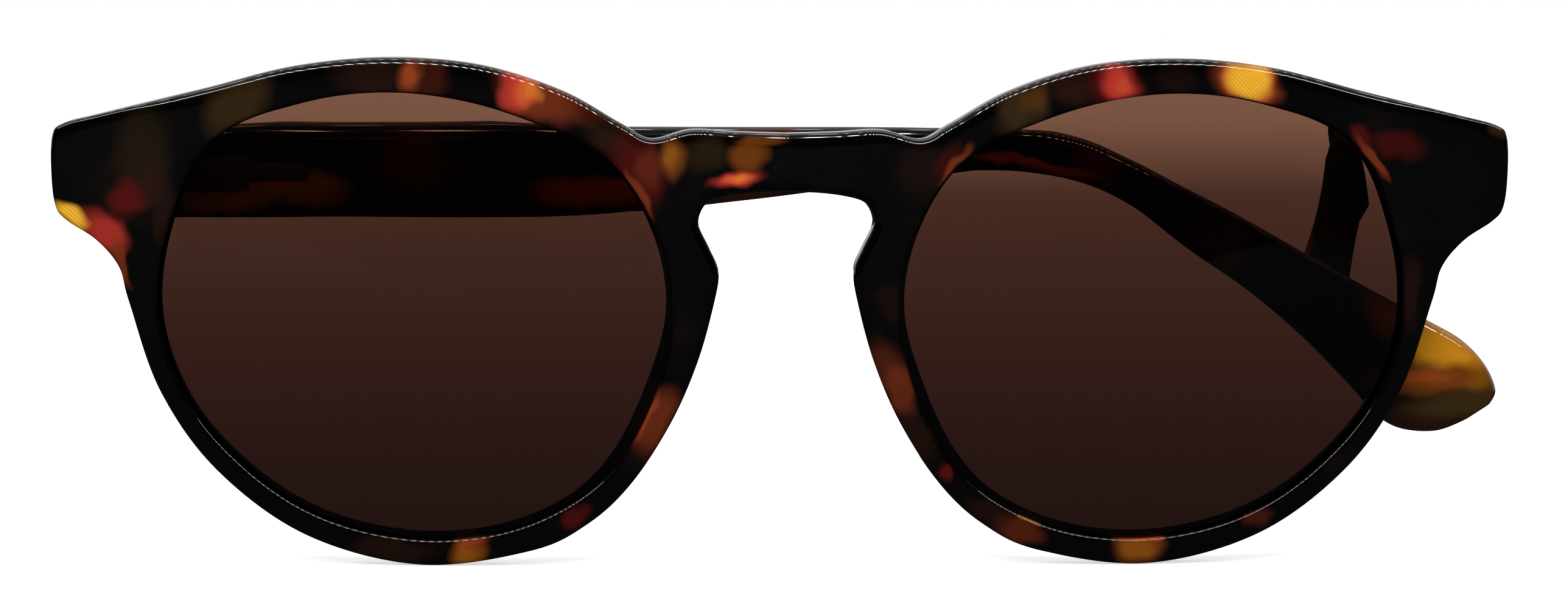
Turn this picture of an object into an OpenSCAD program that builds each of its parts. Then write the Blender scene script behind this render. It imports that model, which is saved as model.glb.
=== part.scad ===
// Round reading sunglasses with a keyhole bridge, moulded nose pads and sprung temple hinges.
// The front stands upright on its rims and faces -Y, an open temple points to +Y, and +X is to the
// right as seen from the front. The origin lies on the middle plane between the nose pads, where the
// nose carries the glasses.

/* [Front] */
// Width of the front over both end pieces
frame_w = 143.4; // [142:0.2:145]
// Distance of each lens centre from the middle plane
lens_x = 35.7; // [35.4:0.1:36]
// Height of the lens centres above the lowest points of the rims
lens_z = 24.5; // [24.3:0.1:24.8]
// Width of each lens opening
lens_w = 50; // [49:0.1:50.6]
// Height of each lens opening
lens_h = 44.2; // [43:0.1:44.8]
// Thickness of the rims and the bridge from front to back
front_t = 4.0; // [3.8:0.1:4.4]
// Radius of the curve that wraps the front round the face
wrap_r = 450; // [420:10:600]
// Mean rounding of the outer edges, which is larger along the brow and smaller under the lenses
edge_r = 0.8; // [0.4:0.1:0.9]
// Rounding of the edge round the lens opening
lip_r = 0.4; // [0.2:0.05:0.5]

/* [Bridge and nose] */
// Height of the bridge's upper edge at the middle
bridge_top = 42.3; // [41.8:0.1:42.8]
// Height of the crown of the keyhole arch
keyhole_top = 36.6; // [36.2:0.1:37.2]
// Half width of the keyhole at its widest
keyhole_half = 8.5; // [8.2:0.1:8.8]
// Half width of the gap at its narrowest, just under the keyhole
neck_half = 6.6; // [6.2:0.1:7]
// How far the nose pads stand out behind the rims
pad_depth = 4.6; // [3:0.1:5.5]
// Splay of the nose pads, in millimetres of widening for each millimetre of depth
pad_splay = 0.36; // [0.2:0.02:0.4]
// Depth behind the bridge's front face of the place where the nose carries the glasses
nose_y = 6; // [4:0.5:8]
// Height of the same place above the lowest points of the rims
nose_z = 24; // [20:1:28]

/* [Lenses] */
// Thickness at the middle of the lens
lens_mid_t = 2.2; // [1.8:0.1:2.4]
// Thickness at the edge of the lens
lens_edge_t = 1.3; // [1.1:0.05:1.4]
// How far the middle of the lens bulges in front of its edge
lens_bulge = 1.2; // [0.8:0.1:1.4]
// Thickness of the lip in front of the lens
front_lip = 1.2; // [1:0.1:1.3]
// How deep the lens sits in its groove
lens_seat = 0.6; // [0.4:0.05:0.7]
// How much further in the rim reaches behind the lens than in front of it
rear_lip = 1.0; // [0.6:0.1:1.2]
// Clearance of the lens in its groove
lens_gap = 0.06; // [0.03:0.01:0.1]

/* [Temples] */
// Length of the temple from the hinge axis to the bend behind the ear
bend_s = 92; // [86:1:98]
// Height of the upper edge of the temples
temple_top = 42.4; // [42:0.1:42.8]
// Height of the temple at the hinge
temple_h = 9.2; // [8.6:0.1:9.6]
// Thickness of the temple at the hinge
temple_t = 4.0; // [3.8:0.1:4.2]
// Thickness of the temple before its bend, where it is thinnest
temple_thin = 3.0; // [2.6:0.1:3.2]
// Thickness of the temple at its tip
tip_t = 3.4; // [3:0.1:3.6]
// How far the tip of the temple curves inwards
tip_inset = 1.4; // [0:0.1:2]
// Rounding of the long edges of the temple
temple_edge = 1.0; // [0.5:0.1:1.2]
// How far the left temple is open, from folded at 0 to ready to wear at 91.2
left_open = 0; // [0:0.1:91.2]
// How far the right temple is open, from folded over the left one at 4.7 to ready to wear at 91.2
right_open = 91.2; // [4.7:0.1:91.2]

/* [Hinges] */
// Distance of the hinge axis inside the end of the front
hinge_in = 5.5; // [5.2:0.1:5.8]
// Distance of the hinge axis behind the end piece
hinge_back = 2.6; // [2.4:0.1:2.8]
// Distance from the hinge axis to the inner face of the temple
hinge_off = 1.5; // [1.45:0.05:1.6]
// Gap between an open temple and the end piece that stops it
butt_gap = 0.1; // [0.05:0.05:0.3]
// Outer radius of the knuckles
knuckle_r = 1.3; // [1.2:0.02:1.36]
// Height of the middle knuckle
knuckle_h = 2.1; // [1.8:0.1:2.3]
// Height of each outer knuckle
outer_knuckle_h = 1.4; // [1.1:0.1:1.6]
// Radius of the hinge screw
screw_r = 0.6; // [0.5:0.05:0.7]
// Running clearance of the moving hinge pieces, all round
run_gap = 0.05; // [0.03:0.01:0.08]
// Clearance of the fixed hinge pieces in their seats
seat_gap = 0.02; // [0.01:0.01:0.04]
// Length of the wide part of the spring housing
housing_l = 12.2; // [11.8:0.1:12.6]
// Height of the spring housing
housing_h = 3.1; // [2.9:0.1:3.4]
// Thickness of the spring housing
housing_t = 2.5; // [2.4:0.1:2.6]
// Length of the housing's narrow tail
tail_l = 5.7; // [4:0.1:6.5]
// Radius of the guide pin
pin_r = 0.42; // [0.36:0.01:0.44]
// Radius of the spring wire
wire_r = 0.15; // [0.12:0.01:0.16]
// Number of turns of the spring
spring_turns = 9; // [8:1:9]

/* [Hidden] */
$fn = 32;

colour_front = "#4f2a16";
colour_lens = "#6b4a40";
colour_metal = "#8f9296";
colour_steel = "#c9ccd0";

end_x = frame_w / 2;
end_back = end_x * end_x / (2 * wrap_r) + front_t - 0.1;
hinge_x = end_x - hinge_in;
hinge_y = end_back + hinge_back;
hinge_z = temple_top - temple_h / 2;
butt_s = butt_gap - hinge_back;
closed_turn = 91.2;

// The housing, with s the distance along the temple from the hinge axis
housing_s = 1.6;
housing_x = hinge_off + 0.15;
bore_r = housing_t / 2 - 0.3;
stop_l = 1.4;
nut_l = 1.1;
nut_s = housing_s + housing_l - 1.5 - nut_l;
spring_r = (pin_r + bore_r) / 2;
spring_from = housing_s + stop_l + seat_gap + wire_r;
spring_to = nut_s - seat_gap - wire_r;

// Half of the front's outline from the top of the bridge over the brow, the end piece, the rim and
// the keyhole to the bridge's lower edge, as [x, z, angle of the opening's point it is joined to]
outline = [
    [0, bridge_top, 148], [5, bridge_top + 0.15, 145.5], [9.3, bridge_top + 0.35, 142.5],
    [13.2, bridge_top - 0.5, 139], [16.2, 43.3, 134], [22, 46.5, 120], [30, 48.95, 103],
    [39, 49.6, 84], [48, 48.7, 67], [57, 46.4, 49], [end_x - 5, 44, 38], [end_x - 1.2, 43, 33],
    [end_x - 0.1, 41.8, 30], [end_x, 38, 26], [end_x - 0.4, 34.9, 22], [end_x - 1.5, 33.5, 19],
    [end_x - 4.4, 31.6, 14], [end_x - 6.6, 29, 7.5], [end_x - 7.6, 25.5, 1], rim(343, 26.5),
    rim(322, 25.1), rim(297, 24.35), rim(270, 24.5), rim(245, 25.5), [19.4, 4, -129.5],
    [15.1, 8, -144], [11.2, 14, -160], [8.6, 20, -172], [neck_half + 0.4, 25.8, -182],
    [neck_half, 28.8, -187.5], [keyhole_half - 1, 31.1, -191.5], [keyhole_half, 33.2, -195.5],
    [keyhole_half - 0.1, 34.5, -199], [keyhole_half - 0.9, 35.6, -202],
    [keyhole_half - 2.6, keyhole_top - 0.45, -205], [3.2, keyhole_top - 0.1, -207],
    [0, keyhole_top, -208.3]
];
fine = 3;
arch = fine * (len(outline) - 1);
count = arch + fine;
// Points of the outline, closed up the middle of the bridge
outer = concat(
    [for (k = [0:arch]) curve(outline, k / fine)],
    [for (k = [1:fine - 1])
        [0, keyhole_top + (bridge_top - keyhole_top) * k / fine, -208.3 - 3.7 * k / fine]]
);

// Radius of the lens opening every 20 degrees, from the temple's side up and over to the nose
lens_radii = [25.5, 25.9, 26.4, 23.8, 22.1, 21.4, 21.9, 23.8, 24.4, 24.5, 24.3, 24.5, 23.8, 23,
    22.6, 22.8, 23.3, 24.4];

// Upper and lower edge of the temple, as [s and drop of one, s and drop of the other], with s the
// distance from the hinge axis and the drop taken from the height of the temple's top
temple_edges = [
    [butt_s, 0, butt_s, temple_h], [20, 0, 20, temple_h], [43, 0, 44, temple_h - 0.05],
    [bend_s - 30, 0, bend_s - 29, 7.3], [bend_s - 14, 0, bend_s - 14, 5.3],
    [bend_s - 4, 0.3, bend_s - 5.5, 4.6], [bend_s + 3.5, 1.2, bend_s, 4.9],
    [bend_s + 9, 3.4, bend_s + 5, 6], [bend_s + 14.1, 6, bend_s + 9.5, 8.2],
    [bend_s + 20, 9, bend_s + 14.5, 12], [bend_s + 27, 12.9, bend_s + 20.5, 16.1],
    [bend_s + 34.2, 16.8, bend_s + 26, 20.7], [bend_s + 39, 19.2, bend_s + 30.3, 25],
    [bend_s + 42.3, 21.1, bend_s + 33.3, 28.2], [bend_s + 44.6, 23.5, bend_s + 36, 29.9],
    [bend_s + 45.7, 26, bend_s + 39.6, 30.2], [bend_s + 45.2, 27.4, bend_s + 42.4, 29.2]
];

function rim(angle, r) = [lens_x + r * cos(angle), lens_z + r * sin(angle), angle - 360];

// Smooth curve through a list of numbers or points, at u from 0 to its last index
function curve(v, u) =
    let (n = len(v) - 1, i = min(floor(u), n - 1), f = u - i,
         a = v[max(i - 1, 0)], b = v[i], c = v[i + 1], d = v[min(i + 2, n)])
    b + f * (c - a + f * (2 * a - 5 * b + 4 * c - d + f * (3 * b - a - 3 * c + d))) / 2;

// The same through values at equal steps round a circle
function around(v, angle) =
    let (n = len(v), u = (angle + 720) / 360 * n, i = floor(u))
    curve([for (j = [-1:2]) v[(i + j) % n]], 1 + u - i);

function smooth(x, lo, hi) = let (f = min(max((x - lo) / (hi - lo), 0), 1)) f * f * (3 - 2 * f);
function wrap(x) = x * x / (2 * wrap_r);
function unit(v) = v / norm(v);

// Point at a distance out from the edge of the lens opening, in the plane of the front
function opening(angle, out) =
    let (r = around(lens_radii, angle), c = cos(angle), s = sin(angle),
         sized = [r * c * lens_w / 50, r * s * lens_h / 44.2])
    [lens_x, lens_z] + sized + out * unit(sized);

// How far the nose pad stands out at a height on the nose side
function pad(x, z) = x > 18 ? 0 : pad_depth * smooth(z, 10, 18) * (1 - smooth(z, 22, 30.5));

// Section of the front from its outer edge to the lens opening and back, at outline point k. Where
// the hinge sits on the end piece, the back is thicker and flat.
function section(k) =
    let (o = [outer[k][0], outer[k][1]], angle = outer[k][2],
         next = outer[(k + 1) % count], last = outer[(k + count - 1) % count],
         along = unit([next[0] - last[0], next[1] - last[1]]),
         inward = k == 0 ? [0, -1] : k == arch ? [0, 1] : [along[1], -along[0]],
         r = k > arch ? 0
             : edge_r * (1 + 0.45 * sin(angle)) * (1 - 0.5 * smooth(o[0], end_x - 12.7, end_x - 5.7)),
         rb = min(r, 0.5), half = sqrt(0.5),
         tall = pad(o[0], o[1]), lean = [pad_splay * tall, 0],
         thick = smooth(o[0], end_x - 16.7, end_x - 8.7) * smooth(o[1], 29.5, 33),
         lip = rear_lip * (1 - 0.3 * sin(angle)), in = opening(angle, 0), side = in - o)
    [
        at(o, r), at(o + r * (1 - half) * inward, r * (1 - half)), at(o + r * inward, 0),
        at(opening(angle, lip_r), 0), at(in, lip_r), at(in, front_lip),
        at(opening(angle, lens_seat), front_lip),
        at(opening(angle, lens_seat), front_lip + lens_edge_t + 2 * lens_gap),
        at(opening(angle, -lip), front_lip + lens_edge_t + 2 * lens_gap),
        at(opening(angle, -lip), front_t - 0.4), at(opening(angle, 0.4 - lip), front_t),
        at(o + (0.85 + 0.135 * thick) * side, front_t),
        behind(o + (0.35 + 0.52 * thick) * side + lean, 0.85 * tall, thick),
        behind(o + rb * inward + lean, tall, thick),
        behind(o + rb * (1 - half) * inward + lean, tall - rb * (1 - half), thick),
        behind(o + lean, tall - rb, thick)
    ];
function at(p, depth) = [p[0], wrap(p[0]) + depth, p[1]];
function behind(p, depth, thick) =
    let (y = wrap(p[0]) + front_t) [p[0], y + (end_back - y) * thick + depth, p[1]];

// Both halves of the front as one skin. The two meet along the middle of the bridge.
module front_shell() {
    m = 16;
    half = [for (k = [0:count - 1]) each section(k)];
    n = len(half);
    quads = [for (k = [0:count - 1], j = [0:m - 1]) if (k < arch || (j > 1 && j < 13))
        let (a = k * m + j, b = k * m + (j + 1) % m, c = ((k + 1) % count) * m + (j + 1) % m,
             d = ((k + 1) % count) * m + j)
        [a, b, c, d]];
    polyhedron(
        concat(half, [for (p = half) [-p[0], p[1], p[2]]]),
        [for (q = quads) each [
            [q[0], q[3], q[2]], [q[0], q[2], q[1]],
            [n + q[0], n + q[2], n + q[3]], [n + q[0], n + q[1], n + q[2]]]],
        convexity = 10);
}

// Closed solid skinned over rings of points, with a fan over each end
module skin(rings) {
    m = len(rings[0]);
    n = len(rings);
    first = centre(rings[0]);
    last = centre(rings[n - 1]);
    polyhedron(
        concat([for (r = rings) each r], [first, last]),
        concat(
            [for (i = [0:n - 2], j = [0:m - 1])
                let (a = i * m + j, b = i * m + (j + 1) % m)
                each [[a, b, b + m], [a, b + m, a + m]]],
            [for (j = [0:m - 1]) each [
                [n * m, (j + 1) % m, j],
                [n * m + 1, (n - 1) * m + j, (n - 1) * m + (j + 1) % m]]]),
        convexity = 6);
}
function centre(ring) = total(ring) / len(ring);
function total(v, i = 0) = i == len(v) - 1 ? v[i] : v[i] + total(v, i + 1);

// Lens of the right eye, from the middle of its front over the edge to the middle of its back
module lens() {
    rings = [0.5, 1];
    seat = lens_seat - lens_gap;
    function face(t, angle) =
        let (p = [lens_x, lens_z] + t * (opening(angle, 0) - [lens_x, lens_z]))
        at(p, front_lip + lens_gap - lens_bulge * (1 - t * t));
    function rear(t, angle) =
        let (p = [lens_x, lens_z] + t * (opening(angle, -1.5 * rear_lip) - [lens_x, lens_z]),
             depth = front_lip + lens_gap - lens_bulge * (1 - t * t))
        at(p, depth + lens_mid_t + (lens_edge_t - lens_mid_t) * t * t);
    function edge(angle, depth) = at(opening(angle, seat), front_lip + lens_gap + depth);
    skin(concat(
        [for (t = rings) [for (k = [0:count - 1]) face(t, outer[k][2])]],
        [for (d = [0, lens_edge_t]) [for (k = [0:count - 1]) edge(outer[k][2], d)]],
        [for (i = [1:-1:0]) [for (k = [0:count - 1]) rear(rings[i], outer[k][2])]]));
}

// Section of the temple at place u along its list of edges, from the upper outer edge round
function temple_section(u) =
    let (e = curve(temple_edges, u), n = len(temple_edges) - 1,
         top = [e[0], temple_top - e[1]], base = [e[2], temple_top - e[3]],
         s = (e[0] + e[2]) / 2, end = min((n - u) / 2, 1),
         body = temple_t - (temple_t - temple_thin) * smooth(s, 25, bend_s - 7)
             + (tip_t - temple_thin) * smooth(s, bend_s + 3, bend_s + 38),
         t = body * (0.45 + 0.55 * sqrt(end * (2 - end))), shift = (body - t) / 2,
         inner = hinge_off - tip_inset * smooth(s, bend_s - 8, bend_s + 58) + shift,
         down = unit(base - top), h = norm(base - top),
         r = min(temple_edge, t * 0.4, h * 0.3), half = sqrt(0.5), c = r * (1 - half), bevel = 1.3 * r)
    [for (p = [
        [inner + t - r, 0], [inner + t - c, c], [inner + t, r],
        [inner + t, h - r], [inner + t - c, h - c], [inner + t - r, h],
        [inner + r, h], [inner + c, h - c], [inner, h - r],
        [inner, bevel], [inner + 0.35 * r, 0.4 * r], [inner + 0.9 * r, 0]])
        let (q = top + p[1] * down) [p[0], q[0], q[1]]];

module temple_bar() {
    n = len(temple_edges) - 1;
    skin([for (i = [0:1:3 * n]) temple_section(i / 3)]);
}

// Box between two corners
module block(from, to) {
    translate(from) cube(to - from);
}

// Cylinder along the temple between two places
module rod(r, from, to) {
    translate([housing_x, from, hinge_z]) rotate([-90, 0, 0]) cylinder(r = r, h = to - from);
}

// The spring housing's outside, with a clearance all round for its pocket
module housing_body(gap) {
    x0 = housing_x - housing_t / 2;
    block([x0 - gap, housing_s - gap, hinge_z - housing_h / 2 - gap],
        [x0 + housing_t + gap, housing_s + housing_l + gap, hinge_z + housing_h / 2 + gap]);
    block([x0 + 0.5 - gap, housing_s + housing_l - 0.5, hinge_z - 0.8 - gap],
        [x0 + housing_t - 0.4 + gap, housing_s + housing_l + tail_l + gap, hinge_z + 0.8 + gap]);
}

module temple() {
    difference() {
        temple_bar();
        housing_body(seat_gap);
        block([hinge_off - 1, butt_s - 1, hinge_z - 1.2],
            [housing_x + pin_r + 0.35, housing_s + 0.1, hinge_z + 1.2]);
    }
}

module housing() {
    difference() {
        housing_body(0);
        rod(bore_r, housing_s - 1, nut_s + nut_l + 0.3);
    }
}

module spring_stop() {
    difference() {
        rod(bore_r - seat_gap, housing_s, housing_s + stop_l);
        rod(pin_r + run_gap, housing_s - 1, housing_s + stop_l + 1);
    }
}

module slide_nut() {
    difference() {
        rod(bore_r - run_gap, nut_s, nut_s + nut_l);
        rod(pin_r + seat_gap, nut_s - 1, nut_s + nut_l + 1);
    }
}

// The middle knuckle, its neck and the guide pin that runs into the housing
module hinge_slide() {
    difference() {
        union() {
            translate([0, 0, hinge_z]) cylinder(r = knuckle_r, h = knuckle_h, center = true);
            block([0.1, 0.3, hinge_z - 0.95], [housing_x + pin_r, housing_s - 0.1, hinge_z + 0.95]);
            rod(pin_r, housing_s - 0.5, nut_s + nut_l);
        }
        translate([0, 0, hinge_z]) cylinder(r = screw_r + run_gap, h = 2 * knuckle_h, center = true);
    }
}

// Helix between the stop and the nut, wound round the guide pin
module flex_spring() {
    steps = 8 * spring_turns;
    skin([for (i = [0:steps])
        let (a = 45 * i, s = spring_from + (spring_to - spring_from) * i / steps)
        [for (b = [0:60:300])
            [housing_x + (spring_r + wire_r * cos(b)) * cos(a), s + wire_r * sin(b),
             hinge_z + (spring_r + wire_r * cos(b)) * sin(a)]]]);
}
echo(spring_gap = (spring_to - spring_from) / spring_turns - 2 * wire_r,
    spring_to_pin = spring_r - wire_r - pin_r, spring_to_bore = bore_r - spring_r - wire_r);

// Plate let into the back of the end piece, with its anchor pegs
module leaf(gap) {
    y1 = 0.15 - hinge_back;
    block([-4.5 - gap, -hinge_back - 0.9 - gap, hinge_z - 3.1 - gap],
        [knuckle_r + gap, y1, hinge_z + 3.1 + gap]);
    for (side = [-1, 1])
        translate([-2.9, -hinge_back - 0.5, hinge_z + 1.7 * side])
            rotate([90, 0, 0]) cylinder(r = 0.6 + gap, h = 1.9 + gap);
}

module front_hinge() {
    difference() {
        union() {
            leaf(0);
            for (side = [0, 1])
                mirror([0, 0, side]) translate([0, 0, knuckle_h / 2 + run_gap + (side ? -1 : 1) * hinge_z])
                    outer_knuckle();
        }
        cylinder(r = screw_r + seat_gap, h = 2 * hinge_z);
    }
}

module outer_knuckle() {
    cylinder(r = knuckle_r, h = outer_knuckle_h);
    block([-knuckle_r, -hinge_back, 0], [knuckle_r, 0, outer_knuckle_h]);
}

module hinge_screw() {
    top = hinge_z + knuckle_h / 2 + run_gap + outer_knuckle_h;
    bottom = 2 * hinge_z - top;
    difference() {
        union() {
            translate([0, 0, bottom]) cylinder(r = screw_r, h = top - bottom + 0.2);
            translate([0, 0, top]) cylinder(r = 1.05, h = 0.5);
        }
        block([-2, -0.14, top + 0.25], [2, 0.14, top + 1]);
    }
}

// Moves what is drawn from the bridge's front and the rims' lowest points to the origin
module seated() {
    translate([0, -nose_y, -nose_z]) children();
}

// Places a piece of the right temple or hinge on either side, turned about the hinge axis
module fixed(side) {
    mirror([side < 0 ? 1 : 0, 0, 0]) seated() translate([hinge_x, hinge_y, 0]) children();
}
module turned(side) {
    fixed(side) rotate([0, 0, closed_turn - (side < 0 ? left_open : right_open)]) children();
}

module frame_front() {
    color(colour_front) difference() {
        seated() front_shell();
        for (side = [-1, 1]) fixed(side) leaf(seat_gap);
    }
}
module lens_left() { color(colour_lens, 0.6) mirror([1, 0, 0]) seated() lens(); }
module lens_right() { color(colour_lens, 0.6) seated() lens(); }
module temple_left() { color(colour_front) turned(-1) temple(); }
module temple_right() { color(colour_front) turned(1) temple(); }
module front_hinge_left() { color(colour_metal) fixed(-1) front_hinge(); }
module front_hinge_right() { color(colour_metal) fixed(1) front_hinge(); }
module hinge_screw_left() { color(colour_steel) fixed(-1) hinge_screw(); }
module hinge_screw_right() { color(colour_steel) fixed(1) hinge_screw(); }
module hinge_slide_left() { color(colour_steel) turned(-1) hinge_slide(); }
module hinge_slide_right() { color(colour_steel) turned(1) hinge_slide(); }
module slide_nut_left() { color(colour_steel) turned(-1) slide_nut(); }
module slide_nut_right() { color(colour_steel) turned(1) slide_nut(); }
module flex_spring_left() { color(colour_steel) turned(-1) flex_spring(); }
module flex_spring_right() { color(colour_steel) turned(1) flex_spring(); }
module spring_stop_left() { color(colour_metal) turned(-1) spring_stop(); }
module spring_stop_right() { color(colour_metal) turned(1) spring_stop(); }
module hinge_housing_left() { color(colour_metal) turned(-1) housing(); }
module hinge_housing_right() { color(colour_metal) turned(1) housing(); }

frame_front();
lens_left();
lens_right();
temple_left();
temple_right();
front_hinge_left();
front_hinge_right();
hinge_screw_left();
hinge_screw_right();
hinge_slide_left();
hinge_slide_right();
slide_nut_left();
slide_nut_right();
flex_spring_left();
flex_spring_right();
spring_stop_left();
spring_stop_right();
hinge_housing_left();
hinge_housing_right();
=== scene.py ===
# %% [markdown]
# # Round reading sunglasses
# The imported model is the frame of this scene: it fixes where every piece is and what moves. The
# scene then dresses it. The front, the temples, the lenses and the springs are made again as
# smooth meshes. The rest of the hinge metal stays as the construction has it and gets its finish.

# %% Load the frame
import math

import bmesh
import bpy
from mathutils import Matrix, Vector


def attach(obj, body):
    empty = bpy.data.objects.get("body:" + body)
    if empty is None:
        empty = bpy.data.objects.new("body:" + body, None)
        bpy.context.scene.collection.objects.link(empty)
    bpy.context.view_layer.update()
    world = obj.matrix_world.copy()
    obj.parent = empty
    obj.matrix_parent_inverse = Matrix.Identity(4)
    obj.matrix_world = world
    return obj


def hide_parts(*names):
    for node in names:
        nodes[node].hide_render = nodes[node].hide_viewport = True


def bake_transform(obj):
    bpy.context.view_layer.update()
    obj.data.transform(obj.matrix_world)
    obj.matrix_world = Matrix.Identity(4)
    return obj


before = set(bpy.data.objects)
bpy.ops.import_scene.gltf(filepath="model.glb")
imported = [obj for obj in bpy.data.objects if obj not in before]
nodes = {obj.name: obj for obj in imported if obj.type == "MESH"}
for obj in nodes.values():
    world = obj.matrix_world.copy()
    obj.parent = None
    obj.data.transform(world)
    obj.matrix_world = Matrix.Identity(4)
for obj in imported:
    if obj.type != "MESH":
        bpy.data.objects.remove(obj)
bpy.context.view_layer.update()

# %% [markdown]
# ## Sizes
# A frame maker draws the front flat and then bends it round the face. The sizes here are in
# millimetres and are those of the construction, so each smooth piece lands where its plain one
# stood. Three of them follow the photograph more closely than the construction does: the temples
# have rounder edges, the rear lip is lower except beside the nose pads, and the lens openings are
# a little smaller below.

# %% Sizes in millimetres
FRAME_W, LENS_X, LENS_Z = 143.4, 35.7, 24.5
FRONT_T, WRAP_R = 4.0, 450
# Roundings of the front: outline, back, edge of the lens opening and rear lip
EDGE_R, BACK_R, LIP_R, REAR_R = 0.8, 0.5, 0.4, 0.4
BRIDGE_TOP, KEYHOLE_TOP, KEYHOLE, NECK = 42.3, 36.6, 8.5, 6.6
# Nose pads: depth, lean outwards for each millimetre of depth, and how far out they reach
PAD_DEPTH, PAD_SPLAY, PAD_REACH = 4.6, 0.36, 18
LENS_MID, LENS_EDGE, LENS_BULGE = 2.2, 1.3, 1.2
FRONT_LIP, LENS_SEAT, REAR_LIP, LENS_GAP = 1.2, 0.6, 1.0, 0.06
TEMPLE_T, TEMPLE_THIN, TIP_T, TIP_INSET, TEMPLE_EDGE = 4.0, 3.0, 3.4, 1.4, 1.84
HINGE_X, HINGE_OFF, HINGE_BACK, HINGE_Z = 66.2, 1.5, 2.6, 37.8
END_X = FRAME_W / 2
END_BACK = END_X ** 2 / (2 * WRAP_R) + FRONT_T - 0.1
HINGE_Y = END_BACK + HINGE_BACK
FOLDED = math.radians(91.2)
BEND = 92
# The frame's origin lies between the nose pads, measured from the bridge's front and the rims' foot
NOSE = Vector((0, 6, 24))
print("hinge axis at", HINGE_X, round(HINGE_Y, 2), "mm")

# %% Curves through measured values
def curve(table, u):
    """Smooth curve through equal-length rows of numbers, at u from 0 to the last index."""
    i = min(int(u), len(table) - 2)
    f = u - i
    rows = table[max(i - 1, 0)], table[i], table[i + 1], table[min(i + 2, len(table) - 1)]
    return [b + f * (c - a + f * (2 * a - 5 * b + 4 * c - d + f * (3 * b - a - 3 * c + d))) / 2
            for a, b, c, d in zip(*rows)]


def smooth(x, lo, hi):
    """Share from 0 at lo to 1 at hi, without a kink at either."""
    f = min(max((x - lo) / (hi - lo), 0), 1)
    return f * f * (3 - 2 * f)


def wrap(x):
    """How far the bend round the face sets a point back."""
    return x * x / (2 * WRAP_R)


# Radius of the lens opening every 20 degrees, from the temple's side over the top, the nose's
# side and the foot. It is up to 0.7 mm less than in the construction below, after the photograph
LENS_STEP = 20
LENS_RADII = [25.5, 25.9, 26.4, 23.8, 22.1, 21.4, 21.9, 23.8, 24.4, 24.5, 24.2, 24.1, 23.2, 22.3,
              21.9, 22.2, 22.9, 24.3]


def opening(angle, out):
    """Point at a distance outside the edge of the lens opening, flat in the front's plane."""
    u = (angle + 2 * 360) / LENS_STEP
    rows = [[LENS_RADII[(int(u) + j) % len(LENS_RADII)]] for j in (-1, 0, 1, 2)]
    radius = curve(rows, 1 + u - int(u))[0] + out
    return Vector((LENS_X + radius * math.cos(math.radians(angle)),
                   LENS_Z + radius * math.sin(math.radians(angle))))


print("lens opening", round(opening(0, 0).x - opening(180, 0).x, 1), "mm wide")

# %% [markdown]
# ## A helper for skins
# Most of this object is a section carried along a line. The helper takes the rings of points and
# joins each to the next with quads. Faces that end up without an area, where points meet, are
# left out, and normals are turned outward once the doubles are merged.

# %% Skin over rings
# Faces that meet at more than this angle keep a sharp edge
SHARP = math.radians(35)
# Points closer than this, in metres, become one
MERGE = 2e-7


def mesh_piece(name, points, faces):
    """Closed smooth mesh from points in millimetres."""
    mesh = bpy.data.meshes.new(name)
    mesh.from_pydata([(Vector(p) - NOSE) / 1000 for p in points], [], faces)
    bm = bmesh.new()
    bm.from_mesh(mesh)
    bmesh.ops.remove_doubles(bm, verts=bm.verts, dist=MERGE)
    bmesh.ops.dissolve_degenerate(bm, edges=bm.edges, dist=MERGE)
    bmesh.ops.delete(bm, geom=[v for v in bm.verts if not v.link_faces], context="VERTS")
    bmesh.ops.recalc_face_normals(bm, faces=bm.faces)
    if bm.calc_volume(signed=True) < 0:
        bmesh.ops.reverse_faces(bm, faces=bm.faces)
    open_edges = sum(len(e.link_faces) != 2 for e in bm.edges)
    bm.to_mesh(mesh)
    bm.free()
    mesh.shade_smooth()
    mesh.set_sharp_from_angle(angle=SHARP)
    piece = bpy.data.objects.new(name, mesh)
    bpy.context.scene.collection.objects.link(piece)
    print(name, len(mesh.polygons), "faces,", open_edges, "open edges")
    return piece


def band(a, b, m, skip=()):
    """Quads between two rings of m points, which start at points a and b."""
    return [(a + j, a + (j + 1) % m, b + (j + 1) % m, b + j) for j in range(m) if j not in skip]


def ring_faces(rings, m):
    """Bands between rings of m points each, and a flat cap over each end."""
    faces = [face for i in range(rings - 1) for face in band(i * m, (i + 1) * m, m)]
    return faces + [tuple(reversed(range(m))), tuple(range((rings - 1) * m, rings * m))]


# %% [markdown]
# ## The front
# On the real glasses the front is one piece of plastic. Its outline and the lens opening are two
# loops, and the section between them changes all the way round: a wide rounding along the brow, a
# tight one under the lens, the groove that holds the lens, a rear lip, and the nose pad that swells
# out of the back beside the nose. A subdivided box would need many loops to hold such forms, so the
# section is worked out afresh at each step. The two halves meet on the middle line of the bridge.

# %% Outline of the front
def rim(angle, r):
    """Row of the outline at a distance from the middle of the lens."""
    a = math.radians(angle)
    return [LENS_X + r * math.cos(a), LENS_Z + r * math.sin(a), angle - 360]


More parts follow.
